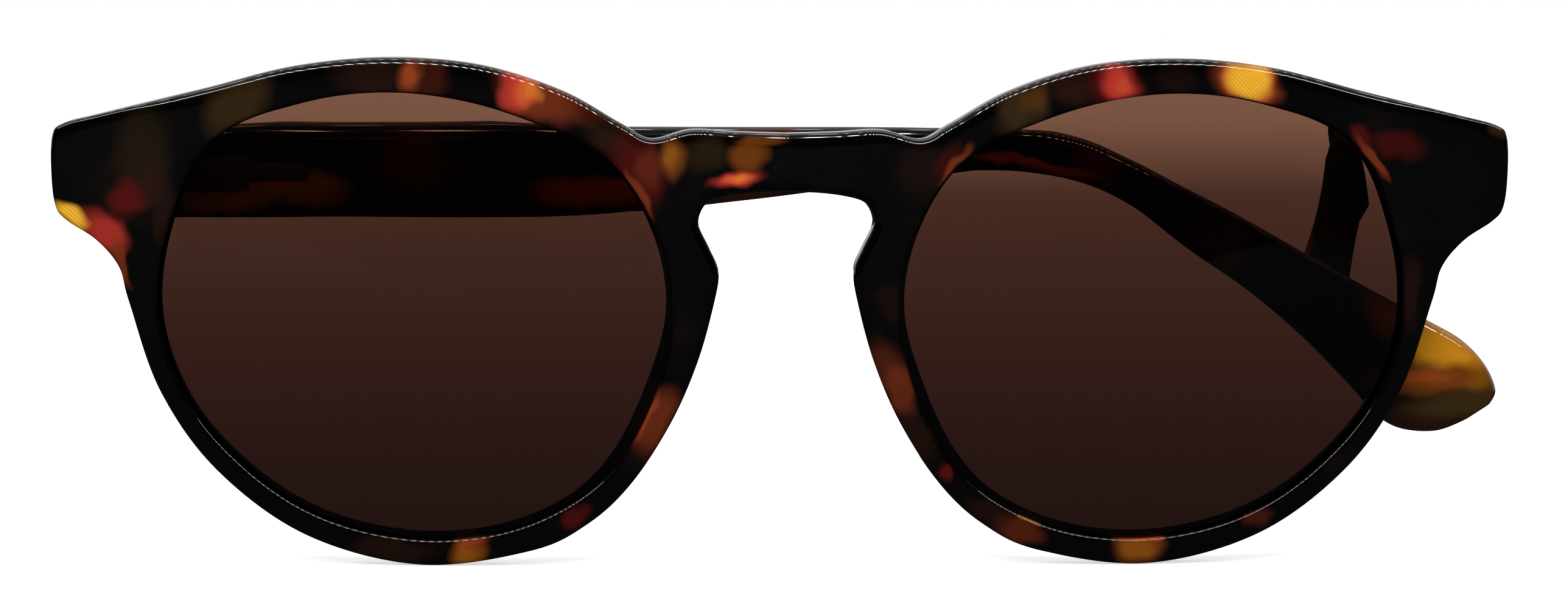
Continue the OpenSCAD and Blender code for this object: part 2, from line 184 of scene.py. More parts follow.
# Each row is x, z and the angle of the point of the lens opening that it is joined to
OUTLINE = [
    [0, BRIDGE_TOP, 148], [5, BRIDGE_TOP + 0.15, 145.5], [9.3, BRIDGE_TOP + 0.35, 142.5],
    [13.2, BRIDGE_TOP - 0.5, 139], [16.2, 43.3, 134], [22, 46.5, 120], [30, 48.95, 103],
    [39, 49.6, 84], [48, 48.7, 67], [57, 46.4, 49], [END_X - 5, 44, 38], [END_X - 1.2, 43, 33],
    [END_X - 0.1, 41.8, 30], [END_X, 38, 26], [END_X - 0.4, 34.9, 22], [END_X - 1.5, 33.5, 19],
    [END_X - 4.4, 31.6, 14], [END_X - 6.6, 29, 7.5], [END_X - 7.6, 25.5, 1], rim(343, 26.5),
    rim(322, 25.1), rim(297, 24.35), rim(270, 24.5), rim(245, 25.5), [19.4, 4, -129.5],
    [15.1, 8, -144], [11.2, 14, -160], [8.6, 20, -172], [NECK + 0.4, 25.8, -182],
    [NECK, 28.8, -187.5], [KEYHOLE - 1, 31.1, -191.5], [KEYHOLE, 33.2, -195.5],
    [KEYHOLE - 0.1, 34.5, -199], [KEYHOLE - 0.9, 35.6, -202],
    [KEYHOLE - 2.6, KEYHOLE_TOP - 0.45, -205], [3.2, KEYHOLE_TOP - 0.1, -207],
    [0, KEYHOLE_TOP, -208.3],
]
# Sections from one row to the next. After the last row they go up the middle line to the first
FINE = 12
ARCH = FINE * (len(OUTLINE) - 1)
outer = [curve(OUTLINE, k / FINE) for k in range(ARCH + 1)]
outer += [[0, KEYHOLE_TOP + (BRIDGE_TOP - KEYHOLE_TOP) * k / FINE, -208.3 - 3.7 * k / FINE]
          for k in range(1, FINE)]
print(len(outer), "sections round each rim")


# %% Section of the front
# A rounding turns through 90 degrees in ten steps
ROUND = [math.radians(9 * i) for i in range(11)]
FACE_STEPS, BACK_STEPS = 8, 5
# Spans over which a form grows: across, in millimetres from the middle, and up from the foot
TIGHT_EDGE, END_ACROSS, END_UP = (59, 66), (55, 63), (29.5, 33)
PAD_RISE, PAD_FALL = (10, 18), (22, 30.5)


def front_section(k):
    """Ring of points round the rim's section, from the outline's edge to the lens and back."""
    start, angle = Vector(outer[k][:2]), outer[k][2]
    before, after = Vector(outer[k - 1][:2]), Vector(outer[(k + 1) % len(outer)][:2])
    along = (after - before).normalized()
    inward = Vector((along.y, -along.x))
    if k == 0 or k >= ARCH:
        inward = Vector((0, -1 if k == 0 else 1))
    sine = math.sin(math.radians(angle))
    # The outline's rounding is wide along the brow, smaller at the foot and at the end piece
    front_r = EDGE_R * (1 + 0.45 * sine) * (1 - 0.5 * smooth(start.x, *TIGHT_EDGE))
    back_r = min(front_r, BACK_R)
    if k > ARCH:
        # On the middle plane the sections stay between the two roundings
        up = (k - ARCH) / FINE
        front_r, back_r = front_r * (1 - 2 * up), back_r * (1 - 2 * up)
    tall = PAD_DEPTH * smooth(start.y, *PAD_RISE) * (1 - smooth(start.y, *PAD_FALL))
    if start.x > PAD_REACH:
        tall = 0
    lean = Vector((PAD_SPLAY * tall, 0))
    thick = smooth(start.x, *END_ACROSS) * smooth(start.y, *END_UP)
    # The rear lip is widest beside the nose pad, where it shows through the lens
    nose = smooth(-math.cos(math.radians(angle)), 0.6, 0.95) * smooth(-sine, -0.1, 0.3)
    lip = REAR_LIP * (max(0.05, 0.45 - 0.3 * sine) + 0.6 * nose)
    side = opening(angle, 0) - start

    def at(p, depth):
        return p.x, wrap(p.x) + depth, p.y

    def behind(p, depth):
        y = wrap(p.x) + FRONT_T
        return p.x, y + (END_BACK - y) * thick + depth, p.y

    seat = FRONT_LIP + LENS_EDGE + 2 * LENS_GAP
    points = [at(start + front_r * (1 - math.cos(a)) * inward, front_r * (1 - math.sin(a)))
              for a in ROUND]
    # The face is wide at the bridge, so it gets points of its own to follow the wrap
    edge, lip_edge = start + front_r * inward, opening(angle, LIP_R)
    points += [at(edge.lerp(lip_edge, i / FACE_STEPS), 0) for i in range(1, FACE_STEPS)]
    points += [at(opening(angle, LIP_R * (1 - math.sin(a))), LIP_R * (1 - math.cos(a)))
               for a in ROUND]
    points += [at(opening(angle, 0), FRONT_LIP), at(opening(angle, LENS_SEAT), FRONT_LIP),
               at(opening(angle, LENS_SEAT), seat), at(opening(angle, -lip), seat)]
    points += [at(opening(angle, REAR_R * (1 - math.cos(a)) - lip),
                  FRONT_T - REAR_R * (1 - math.sin(a))) for a in ROUND]
    # The back rises to the pad or the end piece: share of the way to the lens, height, lift, edge
    rows = [(0.85 + 0.135 * thick, 0, 0, 0), (0.35 + 0.52 * thick, 0.85, 1, 0), (0, 1, 1, 1)]
    for i in range(2 * BACK_STEPS):
        share, height, lift, rounded = curve(rows, i / BACK_STEPS)
        p = start + share * side + lift * lean + rounded * back_r * inward
        y = wrap(p.x) + FRONT_T
        rise = (END_BACK - y) * thick * min(lift, 1) + tall * min(height, 1)
        points.append((p.x, y + rise, p.y))
    points += [behind(start + back_r * (1 - math.cos(a)) * inward + lean,
                      tall - back_r * (1 - math.sin(a))) for a in reversed(ROUND)]
    return points


half = [front_section(k) for k in range(len(outer))]
ring_size = len(half[0])
flat = [p for ring in half for p in ring]
EDGE_FACES = set(range(len(ROUND) - 1)) | set(range(ring_size - len(ROUND), ring_size))
faces = []
for k in range(len(half)):
    a, b = k * ring_size, (k + 1) % len(half) * ring_size
    faces += band(a, b, ring_size, () if k < ARCH else EDGE_FACES)
half_size = len(flat)
faces += [tuple(half_size + i for i in reversed(f)) for f in faces]
front = mesh_piece("front", flat + [(-x, y, z) for x, y, z in flat], faces)

# %% [markdown]
# ## The lenses
# A reading lens is thickest at its middle. Its front and back are made as rings that shrink from
# the groove to the middle, so that the light bends as it does in a real lens.

# %% Lens meshes
def lens_rings(steps=240, rings=16):
    """Rings of points from the middle of the front over the edge to the middle of the back."""
    angles = [360 * i / steps for i in range(steps)]
    centre = Vector((LENS_X, LENS_Z))

    def front_depth(share):
        return FRONT_LIP + LENS_GAP - LENS_BULGE * (1 - share * share)

    def back_depth(share):
        return front_depth(share) + LENS_MID + (LENS_EDGE - LENS_MID) * share * share

    def ring(share, out, base):
        return [(p.x, wrap(p.x) + base(share), p.y)
                for p in (centre + share * (opening(a, out) - centre) for a in angles)]

    def flat_ring(d):
        return [(p.x, wrap(p.x) + FRONT_LIP + LENS_GAP + d, p.y)
                for p in (opening(a, LENS_SEAT - LENS_GAP) for a in angles)]

    steps_out = [max(i, 0.02) / rings for i in range(rings + 1)]
    front_rings = [ring(share, 0, front_depth) for share in steps_out]
    # The back face ends inside the rear lip
    back_rings = [ring(share, -1.5 * REAR_LIP, back_depth) for share in reversed(steps_out)]
    return front_rings + [flat_ring(0), flat_ring(LENS_EDGE)] + back_rings


rings = lens_rings()
points = [p for ring in rings for p in ring]
lens_faces = ring_faces(len(rings), len(rings[0]))
lenses = {
    "right": mesh_piece("tinted_lens_right", points, lens_faces),
    "left": mesh_piece("tinted_lens_left", [(-x, y, z) for x, y, z in points], lens_faces),
}

# %% [markdown]
# ## The temples
# Each temple is a flat bar that thins towards its bend and widens again into the paddle behind the
# ear. Tumbling in a drum has rounded its edges almost to half its thickness, so the lamps show as
# a line well inside the outline. The section follows two edge lines, the upper and the lower.

# %% Temple edges and section
BUTT, TOP, TEMPLE_H = 0.1 - HINGE_BACK, 42.4, 9.2
# Each row is the distance from the hinge and the drop of the upper edge, then of the lower one
TEMPLE_EDGES = [
    [BUTT, 0, BUTT, TEMPLE_H], [20, 0, 20, TEMPLE_H], [43, 0, 44, TEMPLE_H - 0.05],
    [BEND - 30, 0, BEND - 29, 7.3], [BEND - 14, 0, BEND - 14, 5.3],
    [BEND - 4, 0.3, BEND - 5.5, 4.6], [BEND + 3.5, 1.2, BEND, 4.9],
    [BEND + 9, 3.4, BEND + 5, 6], [BEND + 14.1, 6, BEND + 9.5, 8.2],
    [BEND + 20, 9, BEND + 14.5, 12], [BEND + 27, 12.9, BEND + 20.5, 16.1],
    [BEND + 34.2, 16.8, BEND + 26, 20.7], [BEND + 39, 19.2, BEND + 30.3, 25],
    [BEND + 42.3, 21.1, BEND + 33.3, 28.2], [BEND + 44.6, 23.5, BEND + 36, 29.9],
    [BEND + 45.7, 26, BEND + 39.6, 30.2], [BEND + 45.2, 27.4, BEND + 42.4, 29.2],
]


def temple_section(u):
    """Ring of points round the bar, at u along the rows of the edges."""
    row = curve(TEMPLE_EDGES, u)
    distance = (row[0] + row[2]) / 2
    end = min((len(TEMPLE_EDGES) - 1 - u) / 2, 1)
    # The bar thins behind the hinge, is thicker again in the paddle and closes to a rounded tip
    body = (TEMPLE_T - (TEMPLE_T - TEMPLE_THIN) * smooth(distance, 25, BEND - 7)
            + (TIP_T - TEMPLE_THIN) * smooth(distance, BEND + 3, BEND + 38))
    thick = body * (0.45 + 0.55 * math.sqrt(max(end * (2 - end), 0)))
    inner = HINGE_OFF - TIP_INSET * smooth(distance, BEND - 8, BEND + 58) + (body - thick) / 2
    top, base = Vector((row[0], TOP - row[1])), Vector((row[2], TOP - row[3]))
    down, height = (base - top).normalized(), (base - top).length
    edge_r = min(TEMPLE_EDGE, thick * 0.46, height * 0.3)
    near, far = inner + edge_r, inner + thick - edge_r
    corners = [(far, edge_r, 0), (far, height - edge_r, 90),
               (near, height - edge_r, 180), (near, edge_r, 270)]
    profile = [(x + edge_r * math.sin(math.radians(turn) + a),
                y - edge_r * math.cos(math.radians(turn) + a))
               for x, y, turn in corners for a in ROUND]
    return [(x, (top + y * down).x, (top + y * down).y) for x, y in profile]


temple_points = [temple_section(i / FINE) for i in range(FINE * (len(TEMPLE_EDGES) - 1) + 1)]
print(len(temple_points), "sections along a temple")


# %% Temples in place
# Slot in the butt: from the hinge's axis outwards, how far behind it, and half the height
SLOT_NEAR, SLOT_FAR, SLOT_IN, SLOT_HALF = 0.5, 2.42, 1.7, 1.2


def place(side, turn):
    """Matrix from a right-hand temple's own millimetres to the scene, on either side."""
    return (Matrix.Diagonal((side, 1, 1, 1)) @ Matrix.Translation((HINGE_X, HINGE_Y, 0))
            @ Matrix.Rotation(turn, 4, "Z"))


PLACES = {"left": place(-1, FOLDED), "right": place(1, 0)}


def notch(name, matrix):
    """Box that cuts the slot in the butt, where the neck of the hinge slide runs."""
    lo, hi = (SLOT_NEAR, BUTT - 1, HINGE_Z - SLOT_HALF), (SLOT_FAR, SLOT_IN, HINGE_Z + SLOT_HALF)
    corners = [(x, y, z) for x in (lo[0], hi[0]) for y in (lo[1], hi[1]) for z in (lo[2], hi[2])]
    box_faces = [(0, 1, 3, 2), (4, 6, 7, 5), (0, 4, 5, 1), (2, 3, 7, 6), (0, 2, 6, 4), (1, 5, 7, 3)]
    return mesh_piece(name, [tuple(matrix @ Vector(c)) for c in corners], box_faces)


temples = {}
for side, matrix in PLACES.items():
    points = [tuple(matrix @ Vector(p)) for ring in temple_points for p in ring]
    bar = mesh_piece(f"temple_bar_{side}", points,
                     ring_faces(len(temple_points), len(temple_points[0])))
    cutter = notch(f"notch_{side}", matrix)
    cut = bar.modifiers.new("notch", "BOOLEAN")
    cut.operation, cut.solver, cut.object = "DIFFERENCE", "EXACT", cutter
    depsgraph = bpy.context.evaluated_depsgraph_get()
    bar.data = bpy.data.meshes.new_from_object(bar.evaluated_get(depsgraph))
    bar.modifiers.clear()
    bpy.data.objects.remove(cutter)
    temples[side] = bar

# %% [markdown]
# ## The flex springs
# A coil is the plain case of a shape that follows a path, so Geometry Nodes make it: a spiral
# curve, a small circle for the wire, and one mesh swept from the two. It is turned into a plain
# mesh and laid on the axis of its guide pin, between the stop and the nut.

# %% A helper that adds a node
def add(tree, kind, settings=None, inputs=None):
    """One node, with settings on the node and values or links on its inputs."""
    made = tree.nodes.new(kind)
    for key, value in (settings or {}).items():
        setattr(made, key, value)
    for key, value in (inputs or {}).items():
        if isinstance(value, bpy.types.NodeSocket):
            tree.links.new(value, made.inputs[key])
        else:
            made.inputs[key].default_value = value
    return made


# %% Spring as a node tree
coil = bpy.data.node_groups.new("coil_spring", "GeometryNodeTree")
sizes = {"Turns": 9.0, "Coil radius": 0.000685, "Wire radius": 0.00015, "Length": 0.00786}
keys = {}
for label, value in sizes.items():
    socket = coil.interface.new_socket(label, in_out="INPUT", socket_type="NodeSocketFloat")
    socket.default_value = value
    keys[label] = socket.identifier
coil.interface.new_socket("Geometry", in_out="OUTPUT", socket_type="NodeSocketGeometry")
entry = add(coil, "NodeGroupInput")
spiral = add(coil, "GeometryNodeCurveSpiral", None, {
    "Resolution": 32, "Rotations": entry.outputs["Turns"],
    "Start Radius": entry.outputs["Coil radius"], "End Radius": entry.outputs["Coil radius"],
    "Height": entry.outputs["Length"]})
wire = add(coil, "GeometryNodeCurvePrimitiveCircle", None, {
    "Resolution": 14, "Radius": entry.outputs["Wire radius"]})
swept = add(coil, "GeometryNodeCurveToMesh", None, {
    "Curve": spiral.outputs["Curve"], "Profile Curve": wire.outputs["Curve"], "Fill Caps": True})
real = add(coil, "GeometryNodeRealizeInstances", None, {"Geometry": swept.outputs["Mesh"]})
finish_node = add(coil, "GeometryNodeSetMaterial", None, {"Geometry": real.outputs["Geometry"]})
add(coil, "NodeGroupOutput", None, {"Geometry": finish_node.outputs["Geometry"]})

# %% One spring for each side
# How far the guide pin lies outside the hinge's axis, and the spring's near end behind it
PIN_X, STOP_Y = 1.65, 3.17
STEEL = bpy.data.materials.new("spring_steel")
finish_node.inputs["Material"].default_value = STEEL
springs, spring_ends = {}, {}
for side, matrix in PLACES.items():
    mesh = bpy.data.meshes.new("seed")
    source = bpy.data.objects.new("seed", mesh)
    bpy.context.scene.collection.objects.link(source)
    modifier = source.modifiers.new("coil", "NODES")
    modifier.node_group = coil
    for label, value in sizes.items():
        modifier[keys[label]] = value
    depsgraph = bpy.context.evaluated_depsgraph_get()
    mesh = bpy.data.meshes.new_from_object(source.evaluated_get(depsgraph))
    bpy.data.objects.remove(source)
    along_pin = (Matrix.Translation((PIN_X, STOP_Y, HINGE_Z))
                 @ Matrix.Rotation(-math.pi / 2, 4, "X"))
    to_scene = Matrix.Scale(0.001, 4) @ Matrix.Translation(-NOSE) @ matrix @ along_pin
    mesh.transform(to_scene @ Matrix.Scale(1000, 4))
    if side == "left":
        mesh.flip_normals()
    mesh.shade_smooth()
    spring_ends[side] = [to_scene @ Vector((0, 0, z)) for z in (1000 * sizes["Length"], 0)]
    springs[side] = bpy.data.objects.new(f"coil_spring_{side}", mesh)
    bpy.context.scene.collection.objects.link(springs[side])
    print(f"coil_spring_{side}", len(mesh.polygons), "faces")

# %% [markdown]
# ## Tortoiseshell plastic
# Real tortoiseshell acetate is cast from blocks of dark, red, amber and yellow plastic that
# blur into one another. Here a nearly black ground gets a list of blotches, each an ellipse with
# a soft edge that noise pulls out of shape. A blotch with a yellow core is two of them: a wide
# red one and a narrower yellow one laid over it. A few thin streaks in the lists are painted
# highlights, for lit edges of the lens openings and of a temple.

# %% Colours
def linear(hex_colour):
    """Linear colour from an sRGB hex string."""
    parts = [int(hex_colour[i:i + 2], 16) / 255 for i in (1, 3, 5)]
    return [c / 12.92 if c <= 0.04045 else ((c + 0.055) / 1.055) ** 2.4 for c in parts] + [1]


TONES = {"yellow": "#eeb030", "gold": "#c8861c", "orange": "#cc5a28", "red": "#ac3228",
         "rust": "#6a2b15", "amber": "#66340b", "crimson": "#480c0b", "olive": "#32230f",
         "tan": "#d09a60", "brown": "#22100a", "black": "#020202"}
UNDERTONE, WEAVE = "#0b0605", "#140604"
print("yellow", [round(c, 3) for c in linear(TONES["yellow"])])

# %% Blotches on the front
# Each row is x and z in millimetres from the middle and from the rims' foot, half width, half
# height, tilt in degrees, tone and strength. Later rows lie over earlier ones
FRONT_SPOTS = [
    (-62.8, 40, 3, 5.4, 0, "olive", 0.3), (-53.4, 45, 4.2, 2.6, 38, "olive", 0.75),
    (-40.5, 47.7, 4, 2.4, 0, "brown", 0.7), (-34.8, 47.7, 2.1, 2, 0, "rust", 0.2),
    (-36.6, 47.7, 1.3, 2.2, 0, "rust", 1), (-36.5, 47.9, 0.9, 1.5, 0, "orange", 0.2),
    (-24.4, 46, 4.6, 2.6, -24, "rust", 0.85), (-26.4, 46.6, 1.9, 2.4, -10, "red", 0.9),
    (-25.4, 46.5, 1.7, 1.6, -25, "orange", 0.9), (-24.7, 46.4, 1.2, 0.9, -25, "yellow", 0.15),
    (-19.8, 44.7, 2.6, 1.5, -28, "rust", 0.2), (-16.9, 42.4, 2.6, 2, -30, "brown", 0.8),
    # The thin rust streak at x -14.4 is a painted highlight: the lit edge of the lens opening
    (-14.6, 38.6, 2.4, 4.4, 22, "crimson", 0.7), (-14.4, 36.4, 0.6, 3, 27, "rust", 0.9),
    (-13.5, 39, 1.4, 2.4, 10, "rust", 0.4), (-11.2, 39.6, 1.6, 2.2, 0, "amber", 1),
    (-11.4, 39.8, 0.9, 1.4, 0, "gold", 0.15), (-7.8, 40.3, 2.4, 2, 0, "olive", 0.4),
    (-3.8, 40, 2.1, 1.8, 0, "amber", 0.9), (-2.8, 41.6, 2.6, 0.6, 0, "amber", 0.7),
    (-4.9, 37.7, 3, 0.8, 12, "red", 0.9), (-4.7, 37.8, 2, 0.55, 12, "orange", 0.95),
    (-4.4, 37.9, 0.9, 0.35, 12, "yellow", 0.15), (13.4, 38.8, 3, 3.4, 0, "brown", 0.4),
    # The thin rust streak at x 16.4 is a painted highlight: the lit edge of the lens opening
    (16.4, 39.2, 2.6, 0.5, 50, "rust", 0.9), (15.6, 39.6, 2.4, 1, 52, "crimson", 0.35),
    (23.2, 45, 3.4, 2.1, 38, "olive", 0.9), (24.2, 45.6, 1.6, 1.2, 38, "amber", 0.3),
    (28, 46.9, 2.4, 2.2, 20, "brown", 0.9), (32.2, 47.2, 2.8, 2.7, 0, "crimson", 0.95),
    (32.6, 47.2, 2, 2, 0, "red", 1), (33.2, 47.2, 1, 1, 0, "orange", 0.3),
    (38.2, 47.6, 2.4, 1.5, 0, "brown", 0.35), (45.2, 47.4, 3.8, 2.4, -22, "rust", 1),
    (45.6, 47.4, 3.1, 2.1, -25, "orange", 0.9), (45.6, 47.4, 2.6, 1.9, -25, "yellow", 1),
    (60.4, 41.2, 3, 1.6, -12, "crimson", 0.5), (56.8, 42, 1.4, 1, -45, "crimson", 0.7),
    # The thin rust streak at x 58 is a painted highlight: the lit edge of the lens opening
    (58, 39.8, 2.8, 0.5, -54, "rust", 0.9), (70.9, 42.6, 1.2, 1, -20, "olive", 0.7),
    (62, 26.5, 1.1, 4.4, 0, "brown", 0.5), (-66.6, 32.5, 3.1, 2, -38, "red", 0.7),
    (-64.8, 29.6, 0.7, 3, 22, "rust", 0.8), (-64, 35.8, 2.4, 2.1, 30, "crimson", 1),
    (-60.6, 34.6, 1.1, 3.4, -8, "brown", 0.6), (-62, 37, 1.8, 2.4, 0, "brown", 0.8),
    (-69.9, 34.2, 1.8, 1, -32, "yellow", 0.95), (-30.9, 1.4, 1.9, 2.4, 0, "amber", 1),
    (-31.2, 1.2, 1.1, 1.2, 0, "gold", 0.1), (-30.6, 2.5, 1.9, 0.4, 8, "red", 0.3),
    (-20.6, 4.6, 1.7, 1.4, 25, "crimson", 0.7), (-12.8, 14.4, 2.2, 3.6, -24, "rust", 0.65),
    (-13.6, 14.6, 0.5, 3, -24, "orange", 0.2), (9.7, 19.8, 2.2, 2.6, 18, "rust", 0.3),
    (11.2, 17.2, 1.6, 3, 22, "rust", 0.6), (10, 26, 1.4, 2.2, 8, "brown", 0.3),
    (12.7, 12.7, 1.6, 3, 28, "brown", 0.6), (19.6, 5.2, 2.4, 1.5, -35, "brown", 0.5),
    (-38.5, 1.4, 5, 1.5, 0, "brown", 0.5), (15.5, 9, 1.1, 0.8, -55, "crimson", 1),
    (23, 3.4, 2.8, 1.7, -15, "rust", 0.4), (24.2, 4.6, 1.4, 0.4, -18, "gold", 0.3),
    (34.8, 1.9, 2.6, 2.5, 0, "amber", 1), (34.8, 1.3, 2, 1.1, 0, "gold", 0.12),
    (35, 2.6, 2.4, 0.4, 3, "orange", 0.5), (46.8, 4.4, 1.6, 1.1, 25, "rust", 0.25),
]
# The same along a temple, as distance from the hinge and height
LEFT_SPOTS = [
    (11, 35.6, 6, 2.2, 4, "tan", 0.6), (19, 36.1, 5, 2, -6, "gold", 0.55),
    (14, 37, 5, 1.2, 0, "orange", 0.4), (30, 38.5, 4, 4, 20, "crimson", 0.8),
    (48, 35.8, 7, 1.6, 0, "orange", 0.8), (64, 39, 6, 4, 30, "rust", 0.5),
    # The thin orange streak at 91.5 mm is a painted highlight along the lower edge at the bend
    (91.5, 38.4, 7, 0.5, -10, "orange", 0.8), (97, 37.6, 3, 3, 30, "rust", 0.5),
    (109, 30, 5, 4, 40, "crimson", 0.9), (131, 21.4, 8, 2.9, -35, "gold", 1),
    (131, 17.6, 8, 1.9, 4, "amber", 1), (129, 17.9, 4.5, 1.1, 0, "orange", 0.25),
    (133.5, 14.9, 8, 1.8, 12, "olive", 1), (129, 12.6, 7, 1.6, 4, "brown", 0.9),
]
RIGHT_SPOTS = [
    (27.5, 42, 3, 2.4, 10, "rust", 1), (12, 35.6, 8, 2, 0, "crimson", 0.5),
    (44, 40, 4, 3, 30, "rust", 0.8), (58, 38, 4, 5, 20, "crimson", 1),
    (76, 38.5, 5, 2.4, 40, "red", 0.7), (98, 36, 5, 4, 40, "rust", 0.9),
    (118, 26, 4, 4, 40, "crimson", 1), (130.5, 22.1, 7, 2.6, -38, "tan", 0.9),
    (130.4, 18.2, 4.4, 1.6, -22, "orange", 0.6), (128.6, 18.8, 1.8, 0.9, -20, "red", 0.5),
    (134.8, 17.6, 2.8, 2.3, 0, "olive", 0.95), (129, 14.4, 7, 2.4, 0, "black", 1),
    (133, 15, 2.4, 1, -25, "olive", 0.5),
]


# %% Tortoiseshell as nodes
def new_tree(made):
    """Empty node tree of a material or a world."""
    made.use_nodes = True
    made.node_tree.nodes.clear()
    return made.node_tree


def tortoiseshell(name, spots):
    """Polished plastic, so each light shows sharp, with soft blotches at the given places."""
    made = bpy.data.materials.new(name)
    tree = new_tree(made)
    sheet = add(tree, "ShaderNodeAttribute", {"attribute_name": "sheet"}).outputs["Vector"]
    # Noise about 3 mm across pulls the blotches out of shape by up to 0.9 mm each way
    wobble = add(tree, "ShaderNodeTexNoise", None, {
        "Vector": sheet, "Scale": 0.35, "Detail": 1, "Roughness": 0.4}).outputs["Color"]
    off = add(tree, "ShaderNodeVectorMath", {"operation": "MULTIPLY_ADD"}, {
        0: wobble, 1: (1.8, 1.8, 0), 2: (-0.9, -0.9, 0)}).outputs["Vector"]
    point = add(tree, "ShaderNodeVectorMath", {"operation": "ADD"}, {
        0: sheet, 1: off}).outputs["Vector"]
    # The ground changes from black to a very dark brown in clouds about 6 mm across
    cloud = add(tree, "ShaderNodeTexNoise", None, {
        "Vector": sheet, "Scale": 0.16, "Detail": 3}).outputs["Fac"]
    ground = add(tree, "ShaderNodeMapRange", {"interpolation_type": "SMOOTHSTEP"}, {
        "Value": cloud, "From Min": 0.5, "From Max": 0.75}).outputs["Result"]
    mixed = add(tree, "ShaderNodeMix", {"data_type": "RGBA"}, {
        0: ground, 6: linear(TONES["black"]), 7: linear(UNDERTONE)}).outputs[2]
    for x, z, width, height, tilt, tone, strength in spots:
        # After the mapping the ellipse is a unit circle, and how deep a point lies has no say
        local = add(tree, "ShaderNodeMapping", {"vector_type": "TEXTURE"}, {
            "Vector": point, "Location": (x, z, 0), "Rotation": (0, 0, math.radians(tilt)),
            "Scale": (width, height, 1e6)}).outputs["Vector"]
        reach = add(tree, "ShaderNodeVectorMath", {"operation": "LENGTH"}, {0: local})
        soft = add(tree, "ShaderNodeMapRange", {"interpolation_type": "SMOOTHSTEP"}, {
            "Value": reach.outputs["Value"], "From Min": 1.2, "From Max": 0.4,
            "To Min": 0, "To Max": strength}).outputs["Result"]
        mixed = add(tree, "ShaderNodeMix", {"data_type": "RGBA"}, {
            0: soft, 6: mixed, 7: linear(TONES[tone])}).outputs[2]
    # The light blotches carry a fine slanting weave, 0.3 mm from line to line
    weave = add(tree, "ShaderNodeTexWave", {"bands_direction": "DIAGONAL"}, {
        "Vector": sheet, "Scale": 1.5, "Distortion": 0.6, "Detail": 1}).outputs["Fac"]
    value = add(tree, "ShaderNodeSeparateColor", {"mode": "HSV"}, {"Color": mixed}).outputs[2]
    depth = add(tree, "ShaderNodeMath", {"operation": "MULTIPLY"}, {0: value, 1: 0.35})
    dim = add(tree, "ShaderNodeMath", {"operation": "MULTIPLY"}, {
        0: weave, 1: depth.outputs[0]}).outputs[0]
    woven = add(tree, "ShaderNodeMix", {"data_type": "RGBA"}, {
        0: dim, 6: mixed, 7: linear(WEAVE)}).outputs[2]
    plastic = add(tree, "ShaderNodeBsdfPrincipled", None, {
        "Base Color": woven, "Roughness": 0.03, "IOR": 1.49})
    add(tree, "ShaderNodeOutputMaterial", None, {"Surface": plastic.outputs["BSDF"]})
    return made


# %% Where each point lies on its sheet
def mark_sheet(piece, matrix=None):
    """Keeps, for each point, its place in millimetres on the sheet that the piece is cut from."""
    back = Matrix.Identity(4) if matrix is None else matrix.inverted()
    values = []
    for v in piece.data.vertices:
        p = back @ (1000 * v.co + NOSE)
        values += (p.x, p.z, p.y) if matrix is None else (p.y, p.z, p.x)
    piece.data.attributes.new("sheet", "FLOAT_VECTOR", "POINT").data.foreach_set("vector", values)


for piece, name, spots, matrix in (
        (front, "tortoiseshell_front", FRONT_SPOTS, None),
        (temples["left"], "tortoiseshell_left_temple", LEFT_SPOTS, PLACES["left"]),
        (temples["right"], "tortoiseshell_right_temple", RIGHT_SPOTS, PLACES["right"])):
    mark_sheet(piece, matrix)
    piece.data.materials.clear()
    piece.data.materials.append(tortoiseshell(name, spots))
    print(name, len(spots), "blotches")

# %% [markdown]
# ## Tinted lenses
# The lenses are dyed brown all through. Light passes both faces, so the tint is what a white
# sheet looks like through the whole lens. It is a little lighter towards the top: the darker lower
# part is painted shade, which stands for shade lying behind the lens.

# %% Lens material
# Share of the lens's height from the foot, and the tint there, darkened below as painted shade
LENS_TINT_AND_SHADE = [(0, "#2c1916"), (0.2, "#301b17"), (0.42, "#3a201b"), (0.58, "#40261e"),
              (0.78, "#4c2f25"), (0.95, "#7d5745")]


def tinted_lens():
    """Clear cast resin, dyed brown and polished, without blur; painted shade darkens it below."""
    made = bpy.data.materials.new("brown_tinted_lens")
    tree = new_tree(made)
    point = add(tree, "ShaderNodeTexCoord").outputs["Object"]
    height = add(tree, "ShaderNodeSeparateXYZ", None, {"Vector": point}).outputs["Z"]
    level = add(tree, "ShaderNodeMapRange", None, {
        "Value": height, "From Min": -0.022, "From Max": 0.022}).outputs["Result"]
    # Painted shade: the ramp darkens the tint from the top of the lens down to its foot
    tint = add(tree, "ShaderNodeValToRGB", None, {"Fac": level})
    elements = tint.color_ramp.elements
    for element, (at, tone) in zip(elements, (LENS_TINT_AND_SHADE[0], LENS_TINT_AND_SHADE[-1])):
        element.position, element.color = at, linear(tone)
    for at, tone in LENS_TINT_AND_SHADE[1:-1]:
        elements.new(at).color = linear(tone)
    glass = add(tree, "ShaderNodeBsdfPrincipled", None, {
        "Base Color": tint.outputs["Color"], "Roughness": 0.0, "IOR": 1.5,
        "Transmission Weight": 1})
    # The lamps' light also gets past the lens to the temples behind
    shade = add(tree, "ShaderNodeLightPath").outputs["Is Shadow Ray"]
    past = add(tree, "ShaderNodeBsdfTransparent").outputs[0]
    both = add(tree, "ShaderNodeMixShader", None, {
        0: shade, 1: glass.outputs["BSDF"], 2: past}).outputs[0]
    add(tree, "ShaderNodeOutputMaterial", None, {"Surface": both})
    return made


